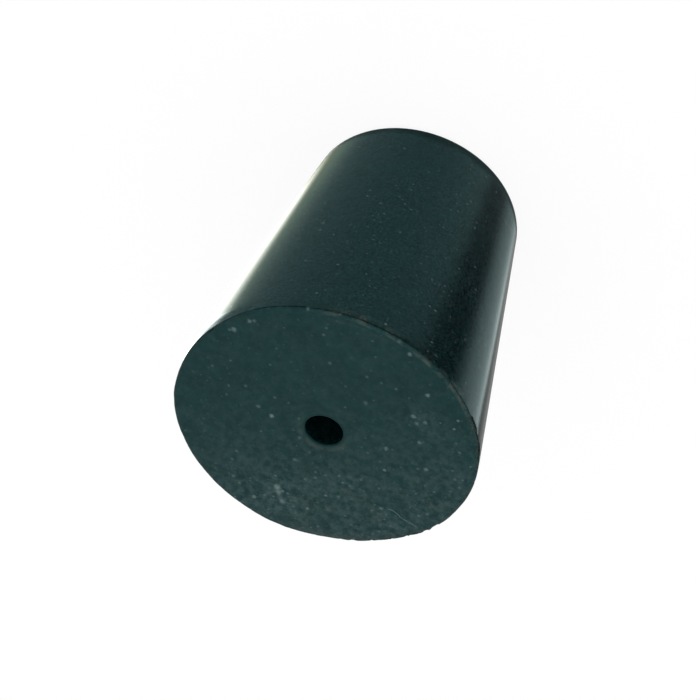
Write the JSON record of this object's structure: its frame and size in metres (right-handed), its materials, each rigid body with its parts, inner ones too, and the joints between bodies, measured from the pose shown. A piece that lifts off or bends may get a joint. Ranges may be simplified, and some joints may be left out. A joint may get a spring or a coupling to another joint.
{
  "type": "rubber stopper",
  "caption": "Solid tapered rubber plug with flat ends and a narrow hole running straight through it from end to end.",
  "frame": {"origin": "centre of the small end's face, on the axis of the hole, at the level the stopper stands on", "axes": "+Z along the hole, from the small end up to the large end; X and Y are any two directions across it, because the stopper is round"},
  "size_m": [0.022, 0.022, 0.025],
  "materials": {
    "rubber": "matte"
  },
  "bodies": {
    "root": {"stopper": "rubber"}
  },
  "joints": []
}
